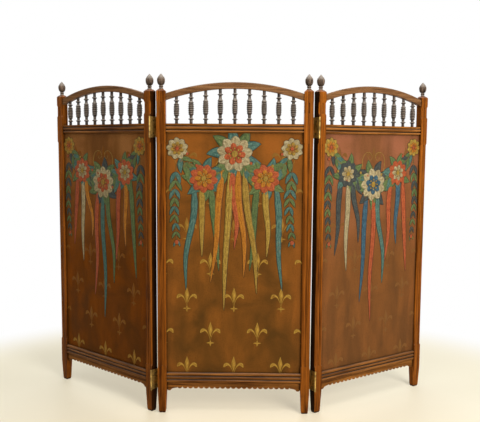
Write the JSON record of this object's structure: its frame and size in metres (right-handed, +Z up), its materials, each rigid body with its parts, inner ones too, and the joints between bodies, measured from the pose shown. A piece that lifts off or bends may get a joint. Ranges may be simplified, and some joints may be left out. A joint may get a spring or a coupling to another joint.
{
  "type": "folding screen",
  "caption": "Low folding room screen: wooden frames with arched spindle galleries, scalloped aprons and decorated leather panels, on double-action brass hinges.",
  "frame": {"origin": "on the floor, in the middle of the sole of the centre fold's left foot, as seen from the front", "axes": "+Z up; the centre fold stands along X with its front towards -Y; the left wing is on the -X side and both wings stand back towards +Y"},
  "size_m": [1.4539, 0.3753, 1.206],
  "materials": {
    "post_wood": "worn satin polish, red-brown",
    "rail_wood": "worn satin polish, red-brown",
    "turned_wood": "dulled dark polish with grey in the grooves",
    "board_wood": "plain, unpolished",
    "leather": "tooled and painted, aged brown",
    "hinge_brass": "aged, dull",
    "screw_brass": "dark with age"
  },
  "bodies": {
    "centre": {"centre_left_post": "post_wood", "centre_right_post": "post_wood", "centre_left_finial": "turned_wood", "centre_right_finial": "turned_wood", "centre_arched_rail": "rail_wood", "centre_gallery_rail": "rail_wood", "centre_spindles": "turned_wood", "centre_bottom_rail": "rail_wood", "centre_apron": "rail_wood", "centre_board": "board_wood", "centre_leather": "leather", "left_top_hinge_fixed_leaf": "hinge_brass", "left_top_hinge_back_pin": "hinge_brass", "left_low_hinge_fixed_leaf": "hinge_brass", "left_low_hinge_back_pin": "hinge_brass", "right_top_hinge_fixed_leaf": "hinge_brass", "right_top_hinge_back_pin": "hinge_brass", "right_low_hinge_fixed_leaf": "hinge_brass", "right_low_hinge_back_pin": "hinge_brass", "centre_screws": "screw_brass"},
    "left_link": {"left_top_hinge_link": "hinge_brass", "left_low_hinge_link": "hinge_brass"},
    "left_wing": {"left_outer_post": "post_wood", "left_inner_post": "post_wood", "left_outer_finial": "turned_wood", "left_inner_finial": "turned_wood", "left_arched_rail": "rail_wood", "left_gallery_rail": "rail_wood", "left_spindles": "turned_wood", "left_bottom_rail": "rail_wood", "left_apron": "rail_wood", "left_board": "board_wood", "left_leather": "leather", "left_top_hinge_wing_leaf": "hinge_brass", "left_top_hinge_front_pin": "hinge_brass", "left_low_hinge_wing_leaf": "hinge_brass", "left_low_hinge_front_pin": "hinge_brass", "left_screws": "screw_brass"},
    "right_link": {"right_top_hinge_link": "hinge_brass", "right_low_hinge_link": "hinge_brass"},
    "right_wing": {"right_inner_post": "post_wood", "right_outer_post": "post_wood", "right_inner_finial": "turned_wood", "right_outer_finial": "turned_wood", "right_arched_rail": "rail_wood", "right_gallery_rail": "rail_wood", "right_spindles": "turned_wood", "right_bottom_rail": "rail_wood", "right_apron": "rail_wood", "right_board": "board_wood", "right_leather": "leather", "right_top_hinge_wing_leaf": "hinge_brass", "right_top_hinge_front_pin": "hinge_brass", "right_low_hinge_wing_leaf": "hinge_brass", "right_low_hinge_front_pin": "hinge_brass", "right_screws": "screw_brass"}
  },
  "joints": [
    {"name": "left_back_fold", "type": "hinge", "parent": "centre", "child": "left_link", "pos_m": [-0.0173, 0.0175, 0], "axis": [0, 0, -1], "range_deg": [-39.5, 140.5]},
    {"name": "left_front_fold", "type": "hinge", "parent": "left_link", "child": "left_wing", "pos_m": [-0.03956, -0.00951, 0], "axis": [0, 0, 1], "range_deg": [0, 90]},
    {"name": "right_back_fold", "type": "hinge", "parent": "centre", "child": "right_link", "pos_m": [0.5283, 0.0175, 0], "axis": [0, 0, 1], "range_deg": [-34, 56]},
    {"name": "right_front_fold", "type": "hinge", "parent": "right_link", "child": "right_wing", "pos_m": [0.54787, -0.01152, 0], "axis": [0, 0, -1], "range_deg": [0, 180]}
  ]
}
